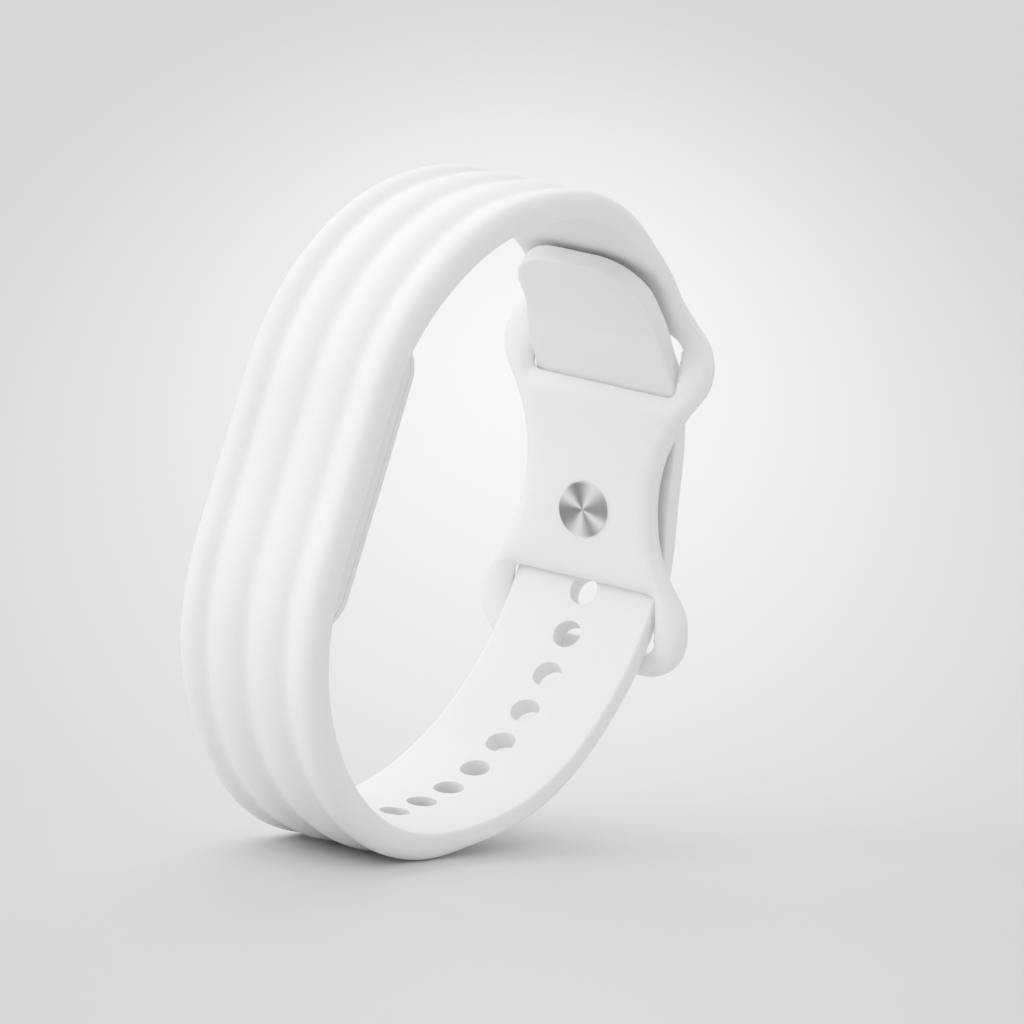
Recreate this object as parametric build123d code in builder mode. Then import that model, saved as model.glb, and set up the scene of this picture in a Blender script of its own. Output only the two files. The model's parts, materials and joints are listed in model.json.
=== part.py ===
# Wrist band with a magnetic pin pod: one soft ribbed strap, closed on itself through the two slots
# of its own clasp plate and held by a metal stud, with a hard pod of disc magnets that pushes out
# of a pocket inside the front. The strap is drawn closed, standing on the outside of its lowest
# stretch, with the way through it level.
# Millimetres. X runs across the loop towards the clasp, Y across the strap, Z up.
import os
from math import copysign, cos, radians, sin, sqrt, tan

from build123d import *

os.makedirs("parts", exist_ok=True)

# Strap section
strap_width = 17.0
core_thick = 2.0            # inner face to the grooves between the ribs
rib_pitch = 4.8             # groove to groove; the two outer ribs take what is left of the width
rib_height = 0.9
faded_rib_height = 0.015    # where the ribs run out at the clasp plate and at the tail
edge_bevel = 0.45           # all round the soft strap

# Clasp plate, measured along the strap from the stud
stud_to_plate_end = 15.9
slot_long = 18.6
slot_wide = 6.15
slot_round = 2.0
end_slot_down = 10.3        # stud to the middle of the end slot
band_slot_up = 15.9         # stud to the middle of the slot at the band
plate_width = 23.8
waist_width = 15.2
bulge_radius = 5.0
end_corner_round = 4.5
plate_runs_out = 24.0       # stud to where the plate is as narrow as the strap
end_bend_down = 4.9         # stud to where the end of the plate bends outwards
end_rail_lean = 8.0         # degrees
band_bend_up = 11.3         # stud to where the plate bends outwards towards the band
band_rail_lean = 4.0        # degrees
rail_bend = 0.8             # from the corner of such a bend to where it begins and ends
band_rail_up = 19.3         # stud to where the plate starts to curve over into the band
collar_radius = 2.75
collar_height = 0.45
tail_clearance = 0.4        # collar to the tail that lies over it

# Holes and tip
hole_count = 12
hole_radius = 1.5
hole_pitch = 4.95
holes_above_stud = 1
tip_length = 7.0
tip_corner_round = 6.8

# Stud
stud_head_radius = 2.8
stud_head_thick = 0.7
stud_head_proud = 0.2
stud_head_clearance = 0.06
stud_head_bevel = 0.12
shank_radius = 1.1
shank_clearance = 0.06
spigot_radius = 0.7
spigot_length = 0.8
spigot_clearance = 0.02
button_radius = 1.95
button_thick = 1.3
button_gap = 0.12
button_round = 0.6

# Pod
pod_length = 31.2
pod_width = 16.0
case_thick = 1.5
cover_thick = 1.3
cover_round = 0.8
plug_thick = 0.6
plug_clearance = 0.05
boss_margin = 2.5           # step from the rim of the case in to its boss
boss_depth = 2.0
pocket_clearance = 0.2
saddle_rise = 1.6           # how far the flat seat of the pod stands in from the strap's inner face
saddle_length = 32.4
saddle_root = 0.3           # of the seat inside the strap
saddle_round = 0.6
magnet_count = 3
magnet_radius = 3.5
magnet_thick = 2.0
magnet_clearance = 0.1
magnet_wall = 1.7           # left between the outer pockets and the ends of the boss

straight_length = 16.0      # of the strap behind the pod
pod_lean = 254.0            # degrees, the way the strap travels there, down and outwards

# Where the loop's middle line goes, from the point where it touches the floor
clasp_across = 32.6
clasp_up = 29.8
clasp_lean = 4.6            # degrees, leaning in over the wrist
loop_middle = 4.74          # floor contact to the middle of the overall width, where X is 0
straight_angle = 0.01       # degrees of turn below which a run is drawn straight
sharp_angle = 30.0          # degrees between two faces that count as an edge

half_core = core_thick / 2
half_width = strap_width / 2
crest = half_core + rib_height
tail_out = core_thick + collar_height + tail_clearance
boss_long = pod_length - 2 * boss_margin
boss_wide = pod_width - 2 * boss_margin
magnet_rows = boss_long - 2 * (magnet_wall + magnet_clearance + magnet_radius)
magnet_pitch = magnet_rows / (magnet_count - 1)
saddle_top = half_core + saddle_rise
saddle_base = half_core - saddle_root


# ---------------------------------------------------------------- middle line of the strap

def loop_station(across, up, angle):
    """A place on the middle line and the way it travels there."""
    place = Vector(across - loop_middle, 0, up + crest)
    return place, Vector(cos(radians(angle)), 0, sin(radians(angle)))


def clasp_station(out, along, angle):
    """The same, measured from the stud: outwards from the web and upwards along it."""
    lean = radians(clasp_lean)
    across = clasp_across + out * cos(lean) - along * sin(lean)
    up = clasp_up + out * sin(lean) + along * cos(lean)
    return loop_station(across, up, angle + clasp_lean)


def rail_station(along, bend_at, lean):
    """A place on a straight end of the plate, which leans out of the web from its bend."""
    past_bend = along - bend_at
    heading = 90 - copysign(lean, past_bend)
    return clasp_station(abs(past_bend) * tan(radians(lean)), along, heading)


def smooth_run(stations):
    """Pairs of tangent arcs that carry the line through the stations."""
    for (start, leaving), (end, arriving) in zip(stations, stations[1:]):
        chord = end - start
        if chord.get_angle(leaving) + chord.get_angle(arriving) < straight_angle:
            Line(start, end)
            continue
        along = chord.dot(leaving + arriving)
        bend = 2 * (1 - leaving.dot(arriving))
        reach = chord.dot(chord) / (sqrt(along**2 + bend * chord.dot(chord)) + along)
        first = start + leaving * reach
        second = end - arriving * reach
        middle = (first + second) * 0.5
        TangentArc(start, middle, tangent=leaving)
        TangentArc(middle, end, tangent=second - first)


pod_axis = Vector(cos(radians(pod_lean)), 0, sin(radians(pod_lean)))

plate_end = rail_station(-stud_to_plate_end, -end_bend_down, end_rail_lean)
end_rail = rail_station(-end_bend_down - rail_bend, -end_bend_down, end_rail_lean)
web_low = clasp_station(0, rail_bend - end_bend_down, 90)
web_high = clasp_station(0, band_bend_up - rail_bend, 90)
band_rail = rail_station(band_bend_up + rail_bend, band_bend_up, band_rail_lean)
above_slot = rail_station(band_rail_up, band_bend_up, band_rail_lean)
plate_top = clasp_station(-1.75, 23.6, 128)
shoulder = clasp_station(-8.6, 29.6, 143)
crown = loop_station(9.5, 62.4, 177)
brow = loop_station(-11.8, 57.0, 213)
pod_top = loop_station(-21.3, 44.6, pod_lean)
pod_low = (pod_top[0] + pod_axis * straight_length, pod_axis)
cheek = loop_station(-26.35, 20.2, 279)
heel = loop_station(-19.5, 7.7, 316)
floor_touch = loop_station(0, 0, 0)
ribs_faded = loop_station(10.3, 1.0, 11)
tail_start = loop_station(25.1, 7.6, 39)
tail_in_end_slot = clasp_station(0.95, -end_slot_down, 63)
tail_low = clasp_station(tail_out, -5.0, 84)
tail_at_stud = clasp_station(tail_out, 0, 92)
tail_high = clasp_station(2.7, 8.0, 97)
tail_in_band_slot = clasp_station(0.4, band_slot_up, 134)
tip_start = clasp_station(-3.7, 21.7, 131)

with BuildLine(Plane.XZ) as plate_line:
    smooth_run([plate_end, end_rail, web_low, web_high, band_rail, above_slot, plate_top])
with BuildLine(Plane.XZ) as shoulder_line:
    smooth_run([plate_top, shoulder])
with BuildLine(Plane.XZ) as band_line:
    smooth_run([shoulder, crown, brow, pod_top, pod_low, cheek, heel, floor_touch])
with BuildLine(Plane.XZ) as fading_line:
    smooth_run([floor_touch, ribs_faded])
with BuildLine(Plane.XZ) as below_stud:
    smooth_run([ribs_faded, tail_start, tail_in_end_slot, tail_low, tail_at_stud])
with BuildLine(Plane.XZ) as above_stud:
    smooth_run([tail_at_stud, tail_high, tail_in_band_slot, tip_start])


# ---------------------------------------------------------------- planes and sections

def section_plane(station):
    """Across the strap, with local Y pointing out of the loop."""
    place, travel = station
    return Plane(origin=place, x_dir=(0, -1, 0), z_dir=travel)


def strap_section(station, height):
    """Flat inner face, four round ribs of this height outside, and soft corners."""
    with BuildSketch(section_plane(station)) as section:
        with BuildLine():
            Line((-half_width, half_core), (-half_width, -half_core))
            Line((-half_width, -half_core), (half_width, -half_core))
            Line((half_width, -half_core), (half_width, half_core))
            SagittaArc((half_width, half_core), (rib_pitch, half_core), -height)
            SagittaArc((rib_pitch, half_core), (0, half_core), -height)
            SagittaArc((0, half_core), (-rib_pitch, half_core), -height)
            SagittaArc((-rib_pitch, half_core), (-half_width, half_core), -height)
        make_face()
        sides = section.vertices().group_by(Axis.X)
        chamfer(sides[0] + sides[-1], edge_bevel)
    return section.sketch


def out_of(station):
    """Plane on the strap's middle with Z out of the loop and Y the way the strap travels."""
    place, travel = station
    return Plane(origin=place, x_dir=(0, 1, 0), z_dir=travel.cross(Vector(0, 1, 0)) * -1)


clasp_plane = out_of(clasp_station(0, 0, 90))
pod_middle = (pod_top[0] + pod_axis * (straight_length / 2), pod_axis)
pod_plane = Plane(origin=pod_middle[0], x_dir=(0, 1, 0), z_dir=pod_axis.cross(Vector(0, 1, 0)))
out_of_clasp = Axis(clasp_plane.origin, clasp_plane.z_dir)
towards_wrist = Axis(pod_plane.origin, pod_plane.z_dir)
along_pod = Axis(pod_plane.origin, pod_plane.y_dir)


# ---------------------------------------------------------------- strap

def neck(bulge_at, neck_at, neck_half):
    """Side of the plate as two tangent arcs, from a bulge beside a slot to a narrower place."""
    along = neck_at - bulge_at
    drop = plate_half - neck_half
    both_radii = (along**2 + drop**2) / (2 * drop)
    share = bulge_radius / both_radii
    meet = (plate_half - bulge_radius + share * (both_radii - drop), bulge_at + share * along)
    bulge = TangentArc((plate_half, bulge_at), meet, tangent=(0, along))
    TangentArc(meet, (neck_half, neck_at), tangent=bulge % 1)


def bevelled_edges(solid, joints):
    """Edges at a clear angle, except seams and the edges of the faces where solids join."""
    joint_edges = [edge for joint in joints for edge in joint.edges()]
    sharp = []
    for edge in solid.edges():
        if edge in joint_edges:
            continue
        middle = edge @ 0.5
        sides = [face.normal_at(middle) for face in solid.faces() if edge in face.edges()]
        if sides[0].get_angle(sides[-1]) > sharp_angle:
            sharp.append(edge)
    return sharp


def station_along(wire, distance):
    """The place and travel direction at a distance along a wire."""
    return (
        wire.position_at(distance, position_mode=PositionMode.LENGTH),
        wire.tangent_at(distance, position_mode=PositionMode.LENGTH),
    )


plate_half = plate_width / 2
waist_at = (band_slot_up - end_slot_down) / 2
corner_start = plate_half - end_corner_round
corner_end = end_corner_round - stud_to_plate_end
over_end = band_slot_up + stud_to_plate_end

with BuildPart() as plate:
    with BuildSketch(Plane.XZ):
        trace(Plane.XZ.to_local_coords(plate_line.line), core_thick)
    extrude(amount=plate_width, both=True)
    with BuildSketch(clasp_plane):
        with BuildLine():
            Line((0, -stud_to_plate_end), (corner_start, -stud_to_plate_end))
            TangentArc((corner_start, -stud_to_plate_end), (plate_half, corner_end), tangent=(1, 0))
            Line((plate_half, corner_end), (plate_half, -end_slot_down))
            neck(-end_slot_down, waist_at, waist_width / 2)
            neck(band_slot_up, waist_at, waist_width / 2)
            neck(band_slot_up, plate_runs_out, half_width)
            Line((half_width, plate_runs_out), (half_width, over_end))
            Line((half_width, over_end), (0, over_end))
            mirror(about=Plane.YZ)
        make_face()
    extrude(amount=plate_width, both=True, mode=Mode.INTERSECT)
    with BuildSketch(clasp_plane):
        with Locations((0, -end_slot_down), (0, band_slot_up)):
            RectangleRounded(slot_long, slot_wide, slot_round)
    extrude(amount=plate_width, both=True, mode=Mode.SUBTRACT)
    plate_joint = plate.faces().sort_by_distance(plate_top[0])[0]
    chamfer(bevelled_edges(plate.part, [plate_joint]), edge_bevel)
    with BuildSketch(clasp_plane.offset(half_core)):
        Circle(collar_radius)
    extrude(amount=collar_height)
    with BuildSketch(clasp_plane.offset(-half_core)):
        Circle(stud_head_radius + stud_head_clearance)
    extrude(amount=stud_head_thick - stud_head_proud, mode=Mode.SUBTRACT)
    with BuildSketch(clasp_plane):
        Circle(shank_radius + shank_clearance)
    extrude(amount=core_thick, both=True, mode=Mode.SUBTRACT)

with BuildPart() as tail:
    with BuildSketch(Plane.XZ):
        for stretch in (below_stud, above_stud):
            trace(Plane.XZ.to_local_coords(stretch.line), core_thick)
    extrude(amount=half_width, both=True)
    tail_joints = [tail.faces().sort_by_distance(joint[0])[0] for joint in (ribs_faded, tip_start)]
    chamfer(bevelled_edges(tail.part, tail_joints), edge_bevel)
    with BuildSketch(out_of(tip_start).offset(-half_core)) as tip_outline:
        Rectangle(strap_width, tip_length, align=(Align.CENTER, Align.MIN))
        fillet(tip_outline.vertices().group_by(Axis.Y)[-1], tip_corner_round)
    tip = extrude(amount=core_thick, mode=Mode.PRIVATE)
    tip_joint = tip.faces().sort_by_distance(tip_start[0])[0]
    add(tip.chamfer(edge_bevel, None, bevelled_edges(tip, [tip_joint])))
    for index in range(hole_count):
        steps_down = index - holes_above_stud
        if steps_down < 0:
            place, travel = station_along(above_stud.wire(), -steps_down * hole_pitch)
        else:
            down = below_stud.wire()
            place, travel = station_along(down, down.length - steps_down * hole_pitch)
        with BuildSketch(out_of((place, travel))):
            Circle(hole_radius)
        extrude(amount=core_thick, both=True, mode=Mode.SUBTRACT)

with BuildPart() as strap:
    for start, end, path in ((plate_top, shoulder, shoulder_line), (ribs_faded, floor_touch, fading_line)):
        fade = [strap_section(start, faded_rib_height), strap_section(end, rib_height)]
        sweep(sections=fade, path=path.line, multisection=True)
    sweep(sections=strap_section(shoulder, rib_height), path=band_line.line)
    add(plate.part)
    add(tail.part)
    with BuildSketch(pod_plane.offset(saddle_base)):
        Rectangle(strap_width, saddle_length)
    saddle = extrude(amount=saddle_top - saddle_base, mode=Mode.PRIVATE)
    saddle_edges = saddle.edges().filter_by(along_pod).sort_by(towards_wrist)[-2:]
    add(saddle.fillet(saddle_round, saddle_edges))
    with BuildSketch(pod_plane.offset(saddle_top)):
        SlotOverall(boss_long + 2 * pocket_clearance, boss_wide + 2 * pocket_clearance, rotation=90)
    extrude(amount=-boss_depth, mode=Mode.SUBTRACT)


# ---------------------------------------------------------------- stud

head_face = -half_core - stud_head_proud
head_back = head_face + stud_head_thick
button_base = tail_out + half_core + button_gap

with BuildPart() as stud_pin:
    with BuildSketch(clasp_plane.offset(head_face)):
        Circle(stud_head_radius)
    extrude(amount=stud_head_thick)
    chamfer(stud_pin.faces().sort_by(out_of_clasp)[0].edges(), stud_head_bevel)
    with BuildSketch(clasp_plane.offset(head_back)):
        Circle(shank_radius)
    extrude(amount=button_base - head_back)
    with BuildSketch(clasp_plane.offset(button_base)):
        Circle(spigot_radius)
    extrude(amount=spigot_length)

with BuildPart() as stud_button:
    with BuildSketch(clasp_plane.offset(button_base)):
        Circle(button_radius)
    extrude(amount=button_thick)
    fillet(stud_button.faces().sort_by(out_of_clasp)[-1].edges(), button_round)
    with BuildSketch(clasp_plane.offset(button_base)):
        Circle(spigot_radius + spigot_clearance)
    extrude(amount=spigot_length + spigot_clearance, mode=Mode.SUBTRACT)


# ---------------------------------------------------------------- pod

case_top = saddle_top + case_thick
magnet_top = case_top - plug_thick
magnet_room = magnet_thick + magnet_clearance

with BuildPart() as pod_case:
    with BuildSketch(pod_plane.offset(saddle_top)):
        SlotOverall(pod_length, pod_width, rotation=90)
    extrude(amount=case_thick)
    with BuildSketch(pod_plane.offset(saddle_top)):
        SlotOverall(boss_long, boss_wide, rotation=90)
    extrude(amount=pocket_clearance - boss_depth)
    with BuildSketch(pod_plane.offset(case_top)):
        SlotOverall(boss_long, boss_wide, rotation=90)
    extrude(amount=-plug_thick, mode=Mode.SUBTRACT)
    with BuildSketch(pod_plane.offset(magnet_top)):
        with GridLocations(0, magnet_pitch, 1, magnet_count):
            Circle(magnet_radius + magnet_clearance)
    extrude(amount=-magnet_room, mode=Mode.SUBTRACT)

with BuildPart() as pod_cover:
    with BuildSketch(pod_plane.offset(case_top)):
        SlotOverall(pod_length, pod_width, rotation=90)
    extrude(amount=cover_thick)
    fillet(pod_cover.faces().sort_by(towards_wrist)[-1].edges(), cover_round)
    with BuildSketch(pod_plane.offset(case_top)):
        SlotOverall(
            boss_long - 2 * plug_clearance, boss_wide - 2 * plug_clearance, rotation=90
        )
    extrude(amount=plug_clearance - plug_thick)

magnets = {}
for number in range(magnet_count):
    along = (number - (magnet_count - 1) / 2) * magnet_pitch
    with BuildPart() as magnet:
        with BuildSketch(pod_plane.offset(magnet_top - magnet_room)):
            with Locations((0, along)):
                Circle(magnet_radius)
        extrude(amount=magnet_thick)
    magnets[f"magnet_{number + 1}"] = magnet.part


# ---------------------------------------------------------------- files

nodes = {
    "strap": strap.part,
    "pod_case": pod_case.part,
    "pod_cover": pod_cover.part,
    "stud_pin": stud_pin.part,
    "stud_button": stud_button.part,
}
nodes.update(magnets)
for name, solid in nodes.items():
    solid.label = name
    export_step(solid, f"parts/{name}.step")
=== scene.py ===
import json
from math import acos, cos, hypot, pi, radians, sin, sqrt, tan

import bpy
from bpy.props import FloatProperty, FloatVectorProperty, PointerProperty
from bpy.types import Operator, Panel, PropertyGroup
from mathutils import Matrix, Vector


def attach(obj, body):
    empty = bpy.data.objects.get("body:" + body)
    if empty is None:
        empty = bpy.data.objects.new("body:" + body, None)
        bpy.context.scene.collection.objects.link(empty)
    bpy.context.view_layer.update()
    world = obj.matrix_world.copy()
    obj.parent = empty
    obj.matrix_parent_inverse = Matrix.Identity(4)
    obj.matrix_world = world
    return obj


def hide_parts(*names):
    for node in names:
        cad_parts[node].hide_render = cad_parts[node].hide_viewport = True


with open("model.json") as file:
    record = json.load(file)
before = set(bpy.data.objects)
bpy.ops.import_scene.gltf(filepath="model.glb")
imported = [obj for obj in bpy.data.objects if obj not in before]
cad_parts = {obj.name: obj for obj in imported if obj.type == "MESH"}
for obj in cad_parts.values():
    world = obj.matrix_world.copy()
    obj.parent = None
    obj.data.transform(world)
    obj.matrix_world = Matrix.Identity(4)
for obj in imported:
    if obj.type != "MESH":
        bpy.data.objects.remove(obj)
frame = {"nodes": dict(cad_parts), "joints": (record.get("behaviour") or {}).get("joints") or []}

bl_info = {
    "name": "Wrist Pin Holder",
    "version": (1, 0, 0),
    "blender": (4, 5, 0),
    "location": "View3D > Sidebar > Pin Holder",
    "description": "A ribbed silicone wrist band with a magnet pod that holds pins",
    "category": "Object",
}

MM = 0.001
# Sizes nearer to each other than this count as the same, in millimetres.
NEARLY = 0.01

# ---------------------------------------------------------------- sizes, in millimetres

# Strap section. Laid flat, the strap's near edge is the one that closes at -Y.
CORE_THICK = 2.0
HALF_CORE = CORE_THICK / 2
HALF_WIDTH = 8.5
TAIL_HALF_WIDTH = 8.2
# The ribbed band is drawn in a little at its edges, most at the far edge of the heel.
FAR_DRAWN_IN = 0.6
FAR_HEEL_DRAWN_IN = 0.6
NEAR_DRAWN_IN = 0.3
NEAR_DRAWN_IN_OVER = 12.0
RIB_PITCH = 4.6
RIB_SHIFT = 0.15
RIB_HEIGHT = 0.9
RIBS_FADE_BY = 10.4
CREST = HALF_CORE + RIB_HEIGHT
INNER_RIM = 0.3
OUTER_RIM = 1.1
PLATE_RIM = 1.5
PLATE_OUTER_RIM = 0.6
# The plate's rims turn into the band's from this far below the top of the plate.
BAND_RIM_FROM = 4.0
# Least thickness that a rim leaves on each side of the middle of the plate.
RIM_LEFT = 0.12

# Clasp plate, from the stud
STUD_TO_END = 15.9
SLOT_HALF_LONG = 8.4
# The slots lie this much towards the near edge.
SLOT_SHIFT = 0.1
SLOT_HALF_WIDE = 3.075
SLOT_ROUND = 3.0
SLOT_ROUND_BY_STUD = 0.4
END_SLOT_DOWN = 10.3
BAND_SLOT_UP = 15.9
PLATE_HALF = 12.0
WAIST_HALF = 7.6
BULGE_RADIUS = 5.0
END_CORNER = 4.5
PLATE_RUNS_OUT = 24.0
WAIST_AT = (BAND_SLOT_UP - END_SLOT_DOWN) / 2
# The near edge is a little full below the band slot: it starts above the stud, is there before
# the slot, and fades between two places past the slot's middle.
NEAR_FULLNESS = 0.25
FULL_FROM_STUD = 5.0
FULL_BEFORE_SLOT = 3.0
FULL_FADES = (-1.0, 6.0)
COLLAR_RADIUS = 2.75
COLLAR_HEIGHT = 0.45
COLLAR_ROUND = 0.12
COLLAR_SUNK = 0.2

# Holes and tip
HOLE_COUNT = 12
HOLE_RADIUS = 1.5
HOLE_PITCH = 4.95
HOLE_ROWS = HOLE_PITCH / 4
HOLES_ABOVE_STUD = 1
# The tail hangs on the stud, so its holes sit this much past the shank, the one on it less.
HOLE_SLACK = 0.75
HOLE_ON_STUD_SLACK = 0.35
TIP_LENGTH = 7.7
TIP_CORNER = 5.3
# The tip's far side is drawn in between two distances from its end.
TIP_DRAWN_IN = 1.3
TIP_DRAWN_IN_FROM = 14.0
TIP_DRAWN_IN_BY = 6.0

# Stud. A lathe's rings are about 0.05 mm apart. These are wider apart and too faint to show.
RING_SPACING = 1.57
SHANK_RADIUS = 1.1
SHANK_CLEARANCE = 0.05

# Pod and the seat under it
POD_LENGTH = 31.2
POD_WIDTH = 15.0
POD_CORNER = 5.0
CASE_THICK = 1.5
CASE_ROUND = 0.2
COVER_THICK = 1.3
COVER_ROUND = 0.8
PARTING_ROUND = 0.15
BOSS_MARGIN = 2.5
BOSS_DEPTH = 0.8
BOSS_ROUND = 0.3
POCKET_DEPTH = 1.0
POCKET_CLEARANCE = 0.2
SADDLE_TOP = HALF_CORE + 0.9
SADDLE_WIDTH = 15.3
SADDLE_LENGTH = 32.4
SADDLE_FOOT = 0.4
SADDLE_ROUND = 0.6

# Route of the middle line: where it meets the floor, the leans of the clasp and of the pod in
# degrees, and the play between the collar and the tail
FLOOR_CONTACT = -4.74
CLASP_LEAN = 4.6
POD_LEAN = 254.0
POD_STRAIGHT = 16.0
TAIL_CLEARANCE = 0.4

JOINTS = {joint["name"]: joint for joint in frame["joints"]}
STUD_CENTRE = Vector(JOINTS["stud_spin"]["pos_m"]) / MM
STUD_AXIS = Vector(JOINTS["stud_spin"]["axis"])
POD_AXIS = Vector(JOINTS["pod_out"]["axis"])


def linear(hex_colour):
    """sRGB hex to a linear colour with alpha."""
    values = [int(hex_colour[i:i + 2], 16) / 255 for i in (1, 3, 5)]
    channels = [v / 12.92 if v <= 0.04045 else ((v + 0.055) / 1.055) ** 2.4 for v in values]
    return (*channels, 1.0)


# ---------------------------------------------------------------- what a user may change

def length(name, description, default):
    """A length that is shown in the scene's unit, given here in millimetres."""
    return FloatProperty(
        name=name, description=description, default=default * MM,
        min=0.0, precision=5, subtype="DISTANCE", unit="LENGTH",
    )


def colour(name, description, default):
    return FloatVectorProperty(
        name=name, description=description, default=linear(default),
        size=4, min=0.0, max=1.0, subtype="COLOR",
    )


def strength(name, description, default):
    return FloatProperty(name=name, description=description, default=default, min=0.0)


class PINHOLDER_PG_strap(PropertyGroup):
    rib_height: length("Rib Height", "How far the long ribs stand above the strap", RIB_HEIGHT)
    inner_rim: length("Inner Rim", "Radius of the band's edges against the wrist", INNER_RIM)
    outer_rim: length("Outer Rim", "Radius between the outer ribs and the band's sides", OUTER_RIM)
    plate_rim: length("Plate Rim", "Radius of the edges of the clasp plate", PLATE_RIM)
    hole_radius: length("Hole Radius", "Radius of the adjusting holes", HOLE_RADIUS)
    colour: colour("Silicone", "Colour of the moulded silicone", "#F6F6F5")


class PINHOLDER_PG_pod(PropertyGroup):
    cover_thick: length("Cover Thickness", "Thickness of the cover under the pins", COVER_THICK)
    cover_round: length("Cover Round", "Radius of the cover's edge", COVER_ROUND)
    colour: colour("Plastic", "Colour of the moulded case and cover", "#F0F1F1")


class PINHOLDER_PG_stud(PropertyGroup):
    ring_spacing: length("Ring Spacing", "Distance between the rings on the head", RING_SPACING)
    collar_height: length("Collar Height", "Height of the ring round the shank", COLLAR_HEIGHT)
    magnet_colour: colour("Nickel", "Colour of the plated magnets", "#CFCDC7")


class PINHOLDER_PG_stage(PropertyGroup):
    # The floor's two colours paint a pool of light on it: white round the object, greyer far away.
    painted_pool_middle: colour("Floor Middle", "Colour of the floor round the object", "#FDFDFD")
    painted_pool_edge: colour("Floor Edge", "Colour of the floor far from the object", "#DBDBDB")
    key_strength: strength("Key", "Strength of the soft lamp low at the left", 0.65)
    front_strength: strength("Front", "Strength of the soft lamp in front", 0.42)
    top_strength: strength("Top", "Strength of the soft lamp above", 0.2)
    back_strength: strength("Back", "Strength of the soft lamp behind", 0.37)
    room_strength: strength("Room", "Strength of the light from all sides", 0.74)


# ---------------------------------------------------------------- route of the strap

def heading(angle):
    return Vector((cos(radians(angle)), 0, sin(radians(angle))))


def loop_station(across, up, angle):
    """A place on the middle line, from the floor contact, and the way it travels there."""
    return Vector((FLOOR_CONTACT + across, 0, CREST + up)), heading(angle)


def clasp_station(out, along, angle):
    """The same, from the stud: outwards along its axis and upwards along the web."""
    upwards = Vector((-STUD_AXIS.z, 0, STUD_AXIS.x))
    return STUD_CENTRE + STUD_AXIS * out + upwards * along, heading(angle + CLASP_LEAN)


TAIL_OUT = CORE_THICK + COLLAR_HEIGHT + TAIL_CLEARANCE
POD_TOP = loop_station(-21.3, 44.6, POD_LEAN)
POD_LOW = (POD_TOP[0] + POD_TOP[1] * POD_STRAIGHT, POD_TOP[1])

# From the plate's end up over the crown, down the pod's side, along the floor and up again,
# past the stud to the last station before the tip.
ROUTE = [
    clasp_station(1.5, -STUD_TO_END, 90),
    clasp_station(0.95, -END_SLOT_DOWN, 100),
    clasp_station(0, -3, 90),
    clasp_station(0, 11.5, 90),
    clasp_station(0.45, BAND_SLOT_UP, 84),
    clasp_station(0.75, 18.2, 90),
    clasp_station(-1.75, 23.6, 128),
    clasp_station(-8.7, 29.4, 143),
    loop_station(9.5, 62.1, 177),
    loop_station(-11.8, 57.0, 213),
    POD_TOP,
    POD_LOW,
    loop_station(-26.35, 20.2, 279),
    loop_station(-19.5, 7.7, 316),
    loop_station(0, 0, 0),
    loop_station(25.1, 7.6, 39),
    clasp_station(0.95, -END_SLOT_DOWN, 63),
    clasp_station(TAIL_OUT, -5.0, 84),
    clasp_station(TAIL_OUT, 0, 92),
    clasp_station(2.7, 8.0, 97),
    clasp_station(0.1, 15.6, 130),
    clasp_station(-4.0, 21.1, 133),
]
# Stations with a name, by their number in the route
PLATE_TOP, SHOULDER, BROW, CHEEK, HEEL, FLOOR_TOUCH, TAIL_AT_STUD = 6, 7, 9, 12, 13, 14, 18


def arc_pair(start, leaving, end, arriving):
    """Two tangent arcs between two stations, as (start, tangent, end, tangent) pieces."""
    chord = end - start
    along = chord.dot(leaving + arriving)
    bend = 2 * (1 - leaving.dot(arriving))
    reach = chord.dot(chord) / (sqrt(along**2 + bend * chord.dot(chord)) + along)
    first = start + leaving * reach
    second = end - arriving * reach
    middle = (first + second) / 2
    across = (second - first).normalized()
    return [(start, leaving, middle, across), (middle, across, end, arriving)]


def arc_size(piece):
    """Length of an arc and the length of its Bezier handles."""
    start, leaving, end, arriving = piece
    turn = acos(min(1.0, max(-1.0, leaving.dot(arriving))))
    chord = (end - start).length
    if turn < 1e-4:
        return chord, chord / 3
    radius = chord / (2 * sin(turn / 2))
    return radius * turn, radius * tan(turn / 4) * 4 / 3


def route_arcs():
    """All arcs of the route, with the length travelled at each station."""
    arcs = []
    travelled = [0.0]
    for (start, leaving), (end, arriving) in zip(ROUTE, ROUTE[1:]):
        pair = arc_pair(start, leaving, end, arriving)
        arcs.extend(pair)
        travelled.append(travelled[-1] + sum(arc_size(piece)[0] for piece in pair))
    return arcs, travelled


# ---------------------------------------------------------------- Blender helpers

def deselect_all():
    if bpy.context.object and bpy.context.object.mode != "OBJECT":
        bpy.ops.object.mode_set(mode="OBJECT")
    bpy.ops.object.select_all(action="DESELECT")


def make_active(piece):
    deselect_all()
    piece.select_set(True)
    bpy.context.view_layer.objects.active = piece


def added(name):
    piece = bpy.context.object
    piece.name = name
    piece.data.name = name
    return piece


def edit_selection(piece, operate, verts=None, edges=None, faces=None):
    """Selects what the test picks, then runs an operator on it in edit mode."""
    make_active(piece)
    mesh = piece.data
    for group in (mesh.vertices, mesh.edges, mesh.polygons):
        group.foreach_set("select", [False] * len(group))
    if verts:
        bpy.context.tool_settings.mesh_select_mode = (True, False, False)
        for vert in mesh.vertices:
            vert.select = bool(verts(vert.co))
    if edges:
        bpy.context.tool_settings.mesh_select_mode = (False, True, False)
        for edge in mesh.edges:
            ends = [mesh.vertices[i].co for i in edge.vertices]
            edge.select = bool(edges(*ends))
    if faces:
        bpy.context.tool_settings.mesh_select_mode = (False, False, True)
        for face in mesh.polygons:
            face.select = bool(faces(face))
    bpy.ops.object.mode_set(mode="EDIT")
    operate()
    bpy.ops.object.mode_set(mode="OBJECT")


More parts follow.
